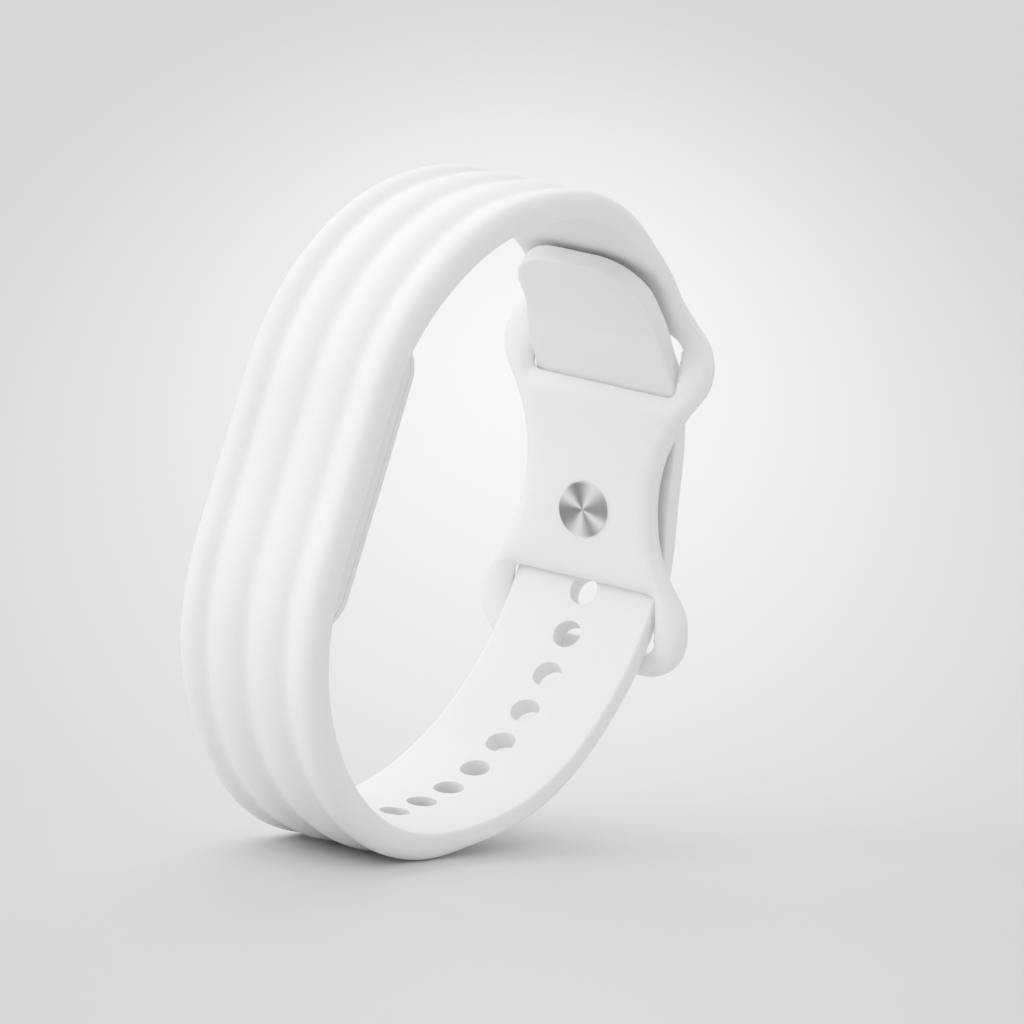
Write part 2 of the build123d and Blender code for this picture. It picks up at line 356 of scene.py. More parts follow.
def apply_modifier(piece, kind, **settings):
    make_active(piece)
    modifier = piece.modifiers.new(kind.title(), kind)
    for key, value in settings.items():
        setattr(modifier, key, value)
    bpy.ops.object.modifier_apply(modifier=modifier.name)


def apply_place(piece, place=None):
    """Moves the mesh to its place, so that the object itself stays at the origin."""
    if place is not None:
        piece.matrix_world = place @ piece.matrix_world
    make_active(piece)
    bpy.ops.object.transform_apply(location=True, rotation=True, scale=True)


def recalculate_normals(piece):
    edit_selection(
        piece,
        lambda: bpy.ops.mesh.normals_make_consistent(inside=False),
        faces=lambda face: True,
    )


def dress(piece, material, body, slot, *nodes):
    """Finish, body and stand-in of a piece."""
    piece.data.materials.clear()
    piece.data.materials.append(material)
    if nodes:
        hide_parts(*nodes)
    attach(piece, body)


def finish_node(name, material):
    """Gives a CAD node that stays in view its finish."""
    mesh = frame["nodes"][name].data
    mesh.materials.clear()
    mesh.materials.append(material)


# ---------------------------------------------------------------- materials

def add_node(tree, kind, settings=None, **inputs):
    """A node with its settings, its input values and its links."""
    node = tree.nodes.new(kind)
    for key, value in (settings or {}).items():
        setattr(node, key, value)
    for key, value in inputs.items():
        socket = node.inputs[key.replace("_", " ")]
        if isinstance(value, bpy.types.NodeSocket):
            tree.links.new(value, socket)
        else:
            socket.default_value = value
    return node


def new_material(name):
    material = bpy.data.materials.new(name)
    material.use_nodes = True
    tree = material.node_tree
    return material, tree, tree.nodes["Principled BSDF"]


def set_inputs(shader, **values):
    for key, value in values.items():
        shader.inputs[key.replace("_", " ")].default_value = value


def shaded(colour, share):
    """A colour a little darker than the one given."""
    return tuple(channel * share for channel in colour[:3]) + (1.0,)


def moulded_silicone(colour):
    """Compression-moulded silicone rubber: a soft even white that glows a little at thin edges,
    with the fine matt grain of a spark-eroded mould."""
    material = bpy.data.materials.get("Moulded_Silicone")
    if material:
        return material
    material, tree, shader = new_material("Moulded_Silicone")
    place = add_node(tree, "ShaderNodeTexCoord").outputs["Object"]
    # Handling leaves faint clouds, about 14 mm across.
    cloud = add_node(
        tree, "ShaderNodeTexNoise", Vector=place, Scale=1 / (14 * MM), Detail=2.0, Roughness=0.5
    )
    tone = add_node(tree, "ShaderNodeValToRGB", Fac=cloud.outputs["Fac"])
    tone.color_ramp.elements[0].position = 0.3
    tone.color_ramp.elements[0].color = shaded(colour, 0.975)
    tone.color_ramp.elements[1].position = 0.7
    tone.color_ramp.elements[1].color = colour
    # The mould's grain is about 0.03 mm and is drawn at 0.12 mm. It is too faint to show.
    grain = add_node(
        tree, "ShaderNodeTexNoise", Vector=place, Scale=1 / (0.12 * MM), Detail=3.0, Roughness=0.6
    )
    bump = add_node(
        tree, "ShaderNodeBump", Strength=0.12, Distance=0.01 * MM, Height=grain.outputs["Fac"]
    )
    tree.links.new(tone.outputs["Color"], shader.inputs["Base Color"])
    tree.links.new(bump.outputs["Normal"], shader.inputs["Normal"])
    set_inputs(
        shader, Roughness=0.52, IOR=1.41, Subsurface_Weight=0.12,
        Subsurface_Radius=(1.0, 0.97, 0.94), Subsurface_Scale=1.0 * MM,
    )
    return material


def moulded_abs(colour):
    """Injection-moulded ABS: a cooler, smoother white than the rubber, with a low sheen."""
    material, tree, shader = new_material("Moulded_ABS")
    place = add_node(tree, "ShaderNodeTexCoord").outputs["Object"]
    # The plastic's flow leaves very faint clouds, about 9 mm across.
    flow = add_node(
        tree, "ShaderNodeTexNoise", Vector=place, Scale=1 / (9 * MM), Detail=1.0, Roughness=0.4
    )
    tone = add_node(tree, "ShaderNodeValToRGB", Fac=flow.outputs["Fac"])
    tone.color_ramp.elements[0].position = 0.3
    tone.color_ramp.elements[0].color = shaded(colour, 0.985)
    tone.color_ramp.elements[1].position = 0.7
    tone.color_ramp.elements[1].color = colour
    # The mould's fine grain is drawn at 0.3 mm. It is too faint to show.
    grain = add_node(
        tree, "ShaderNodeTexNoise", Vector=place, Scale=1 / (0.3 * MM), Detail=2.0, Roughness=0.5
    )
    bump = add_node(
        tree, "ShaderNodeBump", Strength=0.08, Distance=0.01 * MM, Height=grain.outputs["Fac"]
    )
    tree.links.new(tone.outputs["Color"], shader.inputs["Base Color"])
    tree.links.new(bump.outputs["Normal"], shader.inputs["Normal"])
    set_inputs(shader, Roughness=0.38, IOR=1.53)
    return material


def spun_steel(ring_spacing):
    """Stainless steel faced on a lathe, whose fine rings catch the light in fans about the centre.
    The fans here are painted in the base colour, so they turn with the head and stay the same
    under other light. Real ones stay put on a turning head and move with the lamps."""
    material, tree, shader = new_material("Spun_Stainless_Steel")
    place = add_node(tree, "ShaderNodeTexCoord").outputs["Object"]
    centred = add_node(
        tree, "ShaderNodeMapping", {"vector_type": "TEXTURE"}, Vector=place,
        Location=tuple(STUD_CENTRE * MM), Rotation=tuple(stud_matrix().to_euler()),
    )
    fan = add_node(
        tree, "ShaderNodeTexGradient", {"gradient_type": "RADIAL"}, Vector=centred.outputs["Vector"]
    )
    tone = add_node(tree, "ShaderNodeValToRGB", Fac=fan.outputs["Fac"])
    tone.color_ramp.interpolation = "EASE"
    stops = tone.color_ramp.elements
    # Painted highlights: the bright and dull fans of reflected light, painted round the centre as
    # tones of the base colour.
    fans = [
        (0.0, "#B0B0B0"), (0.07, "#FCFCFC"), (0.16, "#B7B7B7"), (0.265, "#FCFCFC"),
        (0.41, "#A6A6A6"), (0.47, "#A2A2A2"), (0.575, "#FCFCFC"), (0.68, "#A2A2A2"),
        (0.82, "#FAFAFA"), (0.95, "#B2B2B2"), (1.0, "#B0B0B0"),
    ]
    stops[0].position, stops[0].color = fans[0][0], linear(fans[0][1])
    stops[1].position, stops[1].color = fans[-1][0], linear(fans[-1][1])
    for position, shade in fans[1:-1]:
        stops.new(position).color = linear(shade)
    tree.links.new(tone.outputs["Color"], shader.inputs["Base Color"])
    # At a scale of one, the texture's rings are 2 pi / 20 apart.
    rings = add_node(
        tree, "ShaderNodeTexWave", {"wave_type": "RINGS", "rings_direction": "Z"},
        Vector=centred.outputs["Vector"], Scale=2 * pi / 20 / ring_spacing, Distortion=0.0,
    )
    bump = add_node(
        tree, "ShaderNodeBump", Strength=0.06, Distance=0.01 * MM, Height=rings.outputs["Fac"]
    )
    tree.links.new(bump.outputs["Normal"], shader.inputs["Normal"])
    set_inputs(shader, Metallic=1.0, Roughness=0.34, Anisotropic=0.6)
    return material


def nickel_plate(colour):
    """Bright nickel plating over a sintered magnet: smooth, with faint clouds 2 mm across."""
    material, tree, shader = new_material("Nickel_Plate")
    place = add_node(tree, "ShaderNodeTexCoord").outputs["Object"]
    cloud = add_node(
        tree, "ShaderNodeTexNoise", Vector=place, Scale=1 / (2 * MM), Detail=3.0, Roughness=0.5
    )
    tone = add_node(tree, "ShaderNodeValToRGB", Fac=cloud.outputs["Fac"])
    tone.color_ramp.elements[0].color = shaded(colour, 0.8)
    tone.color_ramp.elements[1].color = colour
    tree.links.new(tone.outputs["Color"], shader.inputs["Base Color"])
    set_inputs(shader, Metallic=1.0, Roughness=0.22)
    return material


def studio_floor(middle, edge):
    """Matt paper with a pool of light painted on it: white round the object, greyer far from it."""
    material, tree, shader = new_material("Studio_Paper")
    place = add_node(tree, "ShaderNodeTexCoord").outputs["Object"]
    # Painted light: the paper's colour falls from white to grey away from the pool's middle.
    painted_light_pool = add_node(
        tree, "ShaderNodeMapping", {"vector_type": "TEXTURE"}, Vector=place,
        Location=PAINTED_POOL_CENTRE, Rotation=(0, 0, radians(90 + VIEW_AZIMUTH)), Scale=PAINTED_POOL_SIZE,
    )
    painted_falloff = add_node(
        tree, "ShaderNodeTexGradient", {"gradient_type": "SPHERICAL"}, Vector=painted_light_pool.outputs["Vector"]
    )
    tone = add_node(tree, "ShaderNodeValToRGB", Fac=painted_falloff.outputs["Fac"])
    tone.color_ramp.interpolation = "EASE"
    tone.color_ramp.elements[0].color = edge
    tone.color_ramp.elements[1].color = middle
    tree.links.new(tone.outputs["Color"], shader.inputs["Base Color"])
    set_inputs(shader, Roughness=0.9, Specular_IOR_Level=0.0)
    return material


# ---------------------------------------------------------------- strap

def half_outline(along):
    """Half the width of the flat strap at a place on it, from the stud."""
    for bulge_at, neck_at, neck_half in (
        (-END_SLOT_DOWN, WAIST_AT, WAIST_HALF),
        (BAND_SLOT_UP, WAIST_AT, WAIST_HALF),
        (BAND_SLOT_UP, PLATE_RUNS_OUT, HALF_WIDTH),
    ):
        reach = abs(neck_at - bulge_at)
        from_bulge = abs(along - bulge_at)
        if from_bulge > reach or (along - bulge_at) * (neck_at - bulge_at) < 0:
            continue
        drop = PLATE_HALF - neck_half
        both = (reach**2 + drop**2) / (2 * drop)
        if from_bulge < BULGE_RADIUS / both * reach:
            return PLATE_HALF - BULGE_RADIUS + sqrt(BULGE_RADIUS**2 - from_bulge**2)
        hollow = both - BULGE_RADIUS
        return neck_half + hollow - sqrt(hollow**2 - (reach - from_bulge) ** 2)
    if along > PLATE_RUNS_OUT:
        return HALF_WIDTH
    into_corner = max(0.0, END_CORNER - STUD_TO_END - along)
    return PLATE_HALF - END_CORNER + sqrt(max(0.0, END_CORNER**2 - into_corner**2))


# The mesh's columns from the middle to a rim, closer together where the strap rounds over.
COLUMNS = [0, 0.75, 1.6, 2.4, 3.2, 4.05, 4.8, 5.6, 6.5, 7.3, 7.85, 8.2, 8.38, 8.5]
HOLE_COLUMN = 2
SLOT_COLUMN = 7
RIM_COLUMN = 9
RIM_BAND = HALF_WIDTH - COLUMNS[RIM_COLUMN]
# Where the strap is narrow, the rim's columns take this share of half its width.
RIM_SHARE = 0.35
# Beside a slot, the columns that are left lie at these places on the rail.
RAIL_FROM_SLOT = [0, 0.3, 0.9]
SLOT_RINGS = RAIL_FROM_SLOT[-1]
RAIL_FROM_RIM = [0.9, 0.3, 0.12, 0]
# The first rows from the plate's end, the steps between the rows that follow, and the count of
# rows round the tip's corners
END_ROWS = [0, 0.12, 0.3, 0.7, 1.1]
END_STEP = 0.75
PLATE_STEP = 1.1
SLOT_STEP = 1.05
BAND_STEP = 1.25
TIP_ROWS = 10
# Distance of the loops on a rim's wall from its corners, which keeps the corners.
RIM_SUPPORT = 0.3
HOLE_CREASE = 0.85


def spaced(start, end, step):
    """Evenly spaced places from start up to end, without the end."""
    count = max(1, round((end - start) / step))
    return [start + (end - start) * i / count for i in range(count)]


def lobe(place, half_chord, height):
    """Height of a round rib above its chord, at a distance from its middle."""
    radius = (half_chord**2 + height**2) / (2 * height)
    return sqrt(max(0.0, radius**2 - place**2)) - (radius - height)


def smooth_step(low, high, value):
    t = min(1.0, max(0.0, (value - low) / (high - low)))
    return t * t * (3 - 2 * t)


class FlatStrap:
    """Places on the strap as it is moulded, laid flat along X from the plate's end to the tip."""

    def __init__(self, sizes):
        arcs, travelled = route_arcs()
        self.arcs = arcs
        self.rib_height = sizes.rib_height / MM
        self.inner_rim = sizes.inner_rim / MM
        self.outer_rim = sizes.outer_rim / MM
        self.plate_rim = sizes.plate_rim / MM
        # A twelve-sided rim, a little wide, because subdivision draws it in to the true radius.
        self.hole_rim = sizes.hole_radius / MM / (2 / 3 + cos(radians(30)) / 3)
        self.stud = STUD_TO_END
        self.length = travelled[-1] + TIP_LENGTH
        self.plate_top = travelled[PLATE_TOP]
        self.shoulder = travelled[SHOULDER]
        self.brow, self.cheek, self.heel = travelled[BROW], travelled[CHEEK], travelled[HEEL]
        self.floor_touch = travelled[FLOOR_TOUCH]
        self.on_stud = travelled[TAIL_AT_STUD]
        self.holes = [
            self.on_stud + HOLE_SLACK + (HOLES_ABOVE_STUD - i) * HOLE_PITCH
            for i in range(HOLE_COUNT)
        ]
        self.holes[HOLES_ABOVE_STUD] = self.on_stud + HOLE_ON_STUD_SLACK
        self.slots = [self.stud - END_SLOT_DOWN, self.stud + BAND_SLOT_UP]
        self.rows = self.make_rows()

    def make_rows(self):
        """Places of the mesh's rows along the strap, closer together at its ends and slots."""
        near, far = RAIL_FROM_SLOT[1:]
        first_hole = min(self.holes) - HOLE_PITCH / 2
        last_hole = max(self.holes) + HOLE_PITCH / 2
        rows, start = END_ROWS[:-1], END_ROWS[-1]
        for slot, step in zip(self.slots, (END_STEP, PLATE_STEP)):
            low, high = slot - SLOT_HALF_WIDE, slot + SLOT_HALF_WIDE
            rows += spaced(start, low - far, step) + [low - far, low - near]
            rows += spaced(low, high, SLOT_STEP) + [high, high + near]
            start = high + far
        rows += spaced(start, first_hole, BAND_STEP)
        rows += spaced(first_hole, last_hole, HOLE_ROWS)
        rows += spaced(last_hole, self.length - TIP_CORNER, BAND_STEP)
        for step in range(TIP_ROWS + 1):
            rows.append(self.length - TIP_CORNER * (1 - sin(radians(90 * step / TIP_ROWS))))
        return rows

    def half_width(self, s):
        """Half the width at a place on the strap, before its edges are drawn in."""
        tail = smooth_step(self.floor_touch, self.on_stud - END_SLOT_DOWN, s)
        half = HALF_WIDTH + (TAIL_HALF_WIDTH - HALF_WIDTH) * tail
        from_tip = self.length - s
        if from_tip < TIP_CORNER:
            into_corner = TIP_CORNER - from_tip
            return half - TIP_CORNER + sqrt(max(0.0, TIP_CORNER**2 - into_corner**2))
        return half if s > self.floor_touch else half_outline(s - self.stud)

    def edge(self, s, side):
        """Half the width on one side, with what the edge is drawn in or full there."""
        past_floor = smooth_step(self.floor_touch, self.floor_touch + 2 * RIBS_FADE_BY, s)
        if side < 0:
            drawn_in = FAR_DRAWN_IN * smooth_step(self.plate_top, self.shoulder, s)
            drawn_in += FAR_HEEL_DRAWN_IN * smooth_step(self.cheek, self.heel, s)
            tip_starts, tip_ends = self.length - TIP_DRAWN_IN_FROM, self.length - TIP_DRAWN_IN_BY
            at_tip = TIP_DRAWN_IN * smooth_step(tip_starts, tip_ends, s)
            return self.half_width(s) - drawn_in * (1 - past_floor) - at_tip
        drawn_in = NEAR_DRAWN_IN * (1 - past_floor)
        drawn_in *= smooth_step(self.brow, self.brow + NEAR_DRAWN_IN_OVER, s)
        slot = self.slots[1]
        fullness = smooth_step(self.stud + FULL_FROM_STUD, slot - FULL_BEFORE_SLOT, s)
        fullness -= smooth_step(slot + FULL_FADES[0], slot + FULL_FADES[1], s)
        return self.half_width(s) - drawn_in + NEAR_FULLNESS * fullness

    def nearest_hole(self, s):
        return min(self.holes, key=lambda hole: abs(hole - s))

    def hole_near(self, s):
        """Middle of the hole that a row runs through, or None."""
        nearest = self.nearest_hole(s)
        return nearest if abs(nearest - s) < 1.2 * HOLE_ROWS else None

    def slot_at(self, s, margin=0.0):
        """Middle of the slot that a row runs through, or passes within a margin, or None."""
        for middle in self.slots:
            if abs(s - middle) < SLOT_HALF_WIDE + margin + NEARLY:
                return middle
        return None

    def flat_place(self, row, column):
        """Where a grid point of the flat outline lies."""
        s = self.rows[row]
        side = -1 if column < 0 else 1
        column = abs(column)
        share = COLUMNS[column]
        half = self.edge(s, side)
        slot_end = SLOT_HALF_LONG + side * SLOT_SHIFT
        band = min(RIM_BAND, RIM_SHARE * half)
        if self.slot_at(s, SLOT_RINGS) is None:
            if column > RIM_COLUMN:
                across = half - (HALF_WIDTH - share) * band / RIM_BAND
            else:
                across = share / COLUMNS[RIM_COLUMN] * (half - band)
        elif column <= SLOT_COLUMN:
            across = share / COLUMNS[SLOT_COLUMN] * slot_end
        else:
            places = [slot_end + place for place in RAIL_FROM_SLOT]
            places += [half - place for place in RAIL_FROM_RIM]
            across = places[column - SLOT_COLUMN]
        return s, side * across

    def from_rim(self, s, across):
        """Distance to the nearest outer or slot edge, near enough."""
        from_slot_middle = abs(across - SLOT_SHIFT)
        side = 1 if across > 0 else -1
        across = abs(across)
        from_tip = self.length - s
        corner_at = self.edge(self.length - TIP_CORNER, side) - TIP_CORNER
        if from_tip < TIP_CORNER and across > corner_at:
            corner = hypot(TIP_CORNER - from_tip, across - corner_at)
            return max(0.0, TIP_CORNER - corner)
        distance = min(self.edge(s, side) - across, from_tip)
        if s < END_CORNER:
            into = max(0.0, across - PLATE_HALF + END_CORNER)
            distance = min(distance, END_CORNER - hypot(END_CORNER - s, into))
        for middle in self.slots:
            corner = corner_round(s, middle)
            beside = abs(s - middle) - SLOT_HALF_WIDE + corner
            beyond = from_slot_middle - SLOT_HALF_LONG + corner
            to_slot = hypot(max(0.0, beside), max(0.0, beyond)) - corner
            distance = min(distance, max(0.0, to_slot))
        return max(0.0, distance)

    def rim_drop(self, s, across, outside):
        """How far a face lies back from flat where it rounds over into a rim."""
        on_band = smooth_step(self.plate_top - BAND_RIM_FROM, self.shoulder, s)
        on_tail = smooth_step(self.floor_touch, self.floor_touch + RIBS_FADE_BY, s)
        band_rim = self.inner_rim
        if outside:
            band_rim = self.outer_rim + (self.inner_rim - self.outer_rim) * on_tail
        plate_rim = PLATE_OUTER_RIM if outside else self.plate_rim
        rim = plate_rim + (band_rim - plate_rim) * on_band
        inside = max(0.0, rim - self.from_rim(s, across))
        drop = rim - sqrt(rim**2 - inside**2)
        return drop if on_band == 1 else min(drop, HALF_CORE - RIM_LEFT)

    def rib(self, s, across):
        """Height of the ribs above the core at a place on the strap."""
        growth = self.rib_height * smooth_step(self.plate_top, self.shoulder, s)
        growth *= 1 - smooth_step(self.floor_touch, self.floor_touch + RIBS_FADE_BY, s)
        if growth < NEARLY:
            return 0.0
        from_valley = abs(across - RIB_SHIFT)
        if from_valley < RIB_PITCH:
            return lobe(from_valley - RIB_PITCH / 2, RIB_PITCH / 2, growth)
        side = 1 if across > 0 else -1
        outer = self.edge(s, side) - side * RIB_SHIFT - RIB_PITCH
        return lobe(from_valley - RIB_PITCH - outer / 2, outer / 2, growth)


def make_route_curve(flat):
    """The middle line as a Bezier curve, with a straight end for the tip."""
    curve = bpy.data.curves.new("strap_route", "CURVE")
    curve.dimensions = "3D"
    curve.resolution_u = 64
    curve.twist_mode = "MINIMUM"
    spline = curve.splines.new("BEZIER")
    end, arriving = ROUTE[-1]
    arcs = flat.arcs + [(end, arriving, end + arriving * TIP_LENGTH, arriving)]
    spline.bezier_points.add(len(arcs))
    for i, piece in enumerate(arcs):
        start, leaving, finish, arriving = piece
        handle = arc_size(piece)[1]
        here, there = spline.bezier_points[i], spline.bezier_points[i + 1]
        for point in (here, there):
            point.handle_left_type = point.handle_right_type = "FREE"
        here.co = start * MM
        here.handle_right = (start + leaving * handle) * MM
        there.co = finish * MM
        there.handle_left = (finish - arriving * handle) * MM
    first, last = spline.bezier_points[0], spline.bezier_points[-1]
    first.handle_left = first.co - (first.handle_right - first.co)
    last.handle_right = last.co + (last.co - last.handle_left)
    route = bpy.data.objects.new("strap_route", curve)
    bpy.context.scene.collection.objects.link(route)
    return route


def corner_round(s, middle):
    """Radius of a slot's corners: small beside the stud, large on the other side."""
    away = (s - middle) * (middle - STUD_TO_END) > 0
    return SLOT_ROUND if away else SLOT_ROUND_BY_STUD


def rounded_slot(s, across, middle):
    """Moves a point on a slot's rim, or on a ring round it, onto the slot's rounded corner."""
    beside, beyond = abs(s - middle), abs(across - SLOT_SHIFT)
    ring = max(0.0, beside - SLOT_HALF_WIDE, beyond - SLOT_HALF_LONG)
    radius = corner_round(s, middle)
    corner = Vector((SLOT_HALF_WIDE - radius, SLOT_HALF_LONG - radius))
    out = Vector((beside, beyond)) - corner
    if out.x <= 0 or out.y <= 0:
        return s, across
    out = corner + out.normalized() * (radius + ring)
    side = 1 if across > SLOT_SHIFT else -1
    return middle + (out.x if s > middle else -out.x), SLOT_SHIFT + side * out.y


def hole_angle(step, column):
    """Angle round a hole of a rim point, a twelfth of a turn apart."""
    if abs(column) == HOLE_COLUMN:
        tilt = 30 * step
        return radians(90 - tilt) if column > 0 else radians(tilt - 90)
    tilt = 30 * column
    return radians(tilt) if step > 0 else radians(180 - tilt)


def shape_outline(mesh, flat):
    """Gives a grid the strap's outline, with its slots and holes marked out."""
    rows, sides = len(flat.rows), len(COLUMNS) - 1
    for vert in mesh.vertices:
        row = round((vert.co.x + 1) / 2 * (rows - 1))
        column = round(vert.co.y * sides)
        s, across = flat.flat_place(row, column)
        middle = flat.slot_at(s, SLOT_RINGS)
        if middle is not None and abs(column) < SLOT_COLUMN + len(RAIL_FROM_SLOT):
            in_slot_rows = abs(s - middle) < SLOT_HALF_WIDE - NEARLY
            in_opening = in_slot_rows and abs(column) < SLOT_COLUMN
            if not in_opening:
                s, across = rounded_slot(s, across, middle)
        hole = flat.hole_near(s)
        if hole is not None and abs(column) <= HOLE_COLUMN:
            step = round((s - hole) / HOLE_ROWS)
            if abs(step) == 1 or abs(column) == HOLE_COLUMN:
                angle = hole_angle(step, column)
                s, across = hole + flat.hole_rim * cos(angle), flat.hole_rim * sin(angle)
        vert.co = (s, across, 0)


def make_strap(sizes):
    """The strap is shaped flat, as it is moulded, and then bent round its route."""
    flat = FlatStrap(sizes)
    deselect_all()
    bpy.ops.mesh.primitive_grid_add(
        x_subdivisions=len(flat.rows) - 1, y_subdivisions=2 * (len(COLUMNS) - 1), size=2
    )
    strap = added("silicone_strap")

    def in_opening(face):
        s, across = face.center.x, face.center.y
        middle = flat.slot_at(s)
        in_slot = middle is not None and abs(across - SLOT_SHIFT) < SLOT_HALF_LONG
        return in_slot or (flat.hole_near(s) is not None and abs(across) < COLUMNS[HOLE_COLUMN])

    shape_outline(strap.data, flat)
    edit_selection(strap, lambda: bpy.ops.mesh.delete(type="FACE"), faces=in_opening)
    apply_modifier(strap, "SOLIDIFY", thickness=CORE_THICK, offset=0)
    recalculate_normals(strap)
    edit_selection(
        strap,
        lambda: bpy.ops.mesh.subdivide(number_cuts=2),
        edges=lambda a, b: hypot(a.x - b.x, a.y - b.y) < 1e-4,
    )
    crease_hole_rims(strap.data, flat)
    for vert in strap.data.vertices:
        s, across, outside = vert.co.x, vert.co.y, vert.co.z > 0
        top = HALF_CORE - flat.rim_drop(s, across, True)
        bottom = flat.rim_drop(s, across, False) - HALF_CORE
        support = min(RIM_SUPPORT, (top - bottom) / 3)
        if abs(vert.co.z) < HALF_CORE / 2:
            vert.co.z = top - support if outside else bottom + support
        else:
            vert.co.z = top + flat.rib(s, across) if outside else bottom
    apply_modifier(strap, "SUBSURF", levels=1, render_levels=1)
    strap.scale = (MM, MM, MM)
    apply_place(strap)
    route = make_route_curve(flat)
    apply_modifier(strap, "CURVE", object=route, deform_axis="POS_X")
    bpy.data.objects.remove(route)
    make_active(strap)
    bpy.ops.object.shade_smooth_by_angle(angle=radians(50))
    return strap


def crease_hole_rims(mesh, flat):
    """Keeps the rims of the holes crisp when the strap is subdivided."""
    def on_rim(place):
        from_hole = hypot(place.x - flat.nearest_hole(place.x), place.y)
        return abs(from_hole - flat.hole_rim) < NEARLY and abs(place.z) > HALF_CORE / 2

    crease = mesh.attributes.new("crease_edge", "FLOAT", "EDGE")
    for edge in mesh.edges:
        start, end = (mesh.vertices[i].co for i in edge.vertices)
        if on_rim(start) and on_rim(end) and start.z * end.z > 0:
            crease.data[edge.index].value = HOLE_CREASE


# ---------------------------------------------------------------- pod

def rounded_block(name, long, wide, corner, low, high, segments=48):
    """A block with rounded corners, long on Y, between two heights on Z."""
    deselect_all()
    bpy.ops.mesh.primitive_cylinder_add(
        vertices=segments, radius=corner, depth=high - low, location=(0, 0, (low + high) / 2)
    )
    piece = added(name)
    apply_place(piece)
    for side in (-1, 1):
        along, across = side * (long / 2 - corner), side * (wide / 2 - corner)
        edit_selection(
            piece,
            lambda: bpy.ops.transform.translate(value=(0, along, 0)),
            verts=lambda place: place.y * side > 1e-4,
        )
        edit_selection(
            piece,
            lambda: bpy.ops.transform.translate(value=(across, 0, 0)),
            verts=lambda place: place.x * side > 1e-4,
        )
    return piece


def pod_matrix():
    """Turns a piece made flat, long on Y, to lie on the inside of the band."""
    along = Vector((-POD_AXIS.z, 0, POD_AXIS.x))
    middle = (POD_TOP[0] + POD_LOW[0]) / 2
    turn = Matrix((along.cross(POD_AXIS), along, POD_AXIS)).transposed().to_4x4()
    return Matrix.Scale(MM, 4) @ Matrix.Translation(middle) @ turn


def round_edges(piece, width, segments=3, angle=40):
    apply_modifier(
        piece, "BEVEL", width=width, segments=segments,
        limit_method="ANGLE", angle_limit=radians(angle), harden_normals=False,
    )


def finish_shape(piece, place):
    apply_place(piece, place)
    recalculate_normals(piece)
    make_active(piece)
    bpy.ops.object.shade_smooth_by_angle(angle=radians(35))
    return piece


def make_saddle():
    """The flat seat that the strap carries on its inside, with the pod's pocket in it."""
    deselect_all()
    bpy.ops.mesh.primitive_cube_add(size=1, location=(0, 0, (SADDLE_TOP + SADDLE_FOOT) / 2))
    saddle = added("pod_saddle")
    saddle.scale = (SADDLE_WIDTH, SADDLE_LENGTH, SADDLE_TOP - SADDLE_FOOT)
    apply_place(saddle)
    round_edges(saddle, SADDLE_ROUND, 4)
    boss_long = POD_LENGTH - 2 * BOSS_MARGIN + 2 * POCKET_CLEARANCE
    boss_wide = POD_WIDTH - 2 * BOSS_MARGIN + 2 * POCKET_CLEARANCE
    boss_corner = POD_CORNER - BOSS_MARGIN + POCKET_CLEARANCE
    cutter = rounded_block(
        "pocket_cutter", boss_long, boss_wide, boss_corner,
        SADDLE_TOP - POCKET_DEPTH, SADDLE_TOP + 1,
    )
    apply_modifier(saddle, "BOOLEAN", object=cutter, operation="DIFFERENCE", solver="EXACT")
    bpy.data.objects.remove(cutter)
    return finish_shape(saddle, pod_matrix())


def make_pod(sizes):
    """Case and cover of the pod, with a fine line where they part."""
    cover_thick = sizes.cover_thick / MM
    case_top = SADDLE_TOP + CASE_THICK
    case = rounded_block("pod_case_shell", POD_LENGTH, POD_WIDTH, POD_CORNER, SADDLE_TOP, case_top)
    round_edges(case, CASE_ROUND, 3)
    boss = rounded_block(
        "pod_boss", POD_LENGTH - 2 * BOSS_MARGIN, POD_WIDTH - 2 * BOSS_MARGIN,
        POD_CORNER - BOSS_MARGIN, SADDLE_TOP - BOSS_DEPTH, SADDLE_TOP + BOSS_ROUND,
    )
    round_edges(boss, BOSS_ROUND, 3)
    cover = rounded_block(
        "pod_cover_shell", POD_LENGTH, POD_WIDTH, POD_CORNER, case_top, case_top + cover_thick
    )
    edit_selection(
        cover,
        lambda: bpy.ops.mesh.bevel(offset=sizes.cover_round / MM, segments=6, affect="EDGES"),
        edges=lambda a, b: min(a.z, b.z) > case_top + cover_thick - 1e-3,
    )
    edit_selection(
        cover,
        lambda: bpy.ops.mesh.bevel(offset=PARTING_ROUND, segments=2, affect="EDGES"),
        edges=lambda a, b: max(a.z, b.z) < case_top + 1e-3,
    )
    return [finish_shape(piece, pod_matrix()) for piece in (case, boss, cover)]


# ---------------------------------------------------------------- stud

def stud_matrix():
    """Turns a piece made on Z to lie along the stud."""
    upwards = Vector((-STUD_AXIS.z, 0, STUD_AXIS.x))
    sideways = upwards.cross(STUD_AXIS)
    turn = Matrix((sideways, upwards, STUD_AXIS)).transposed().to_4x4()
    return Matrix.Translation(STUD_CENTRE * MM) @ turn


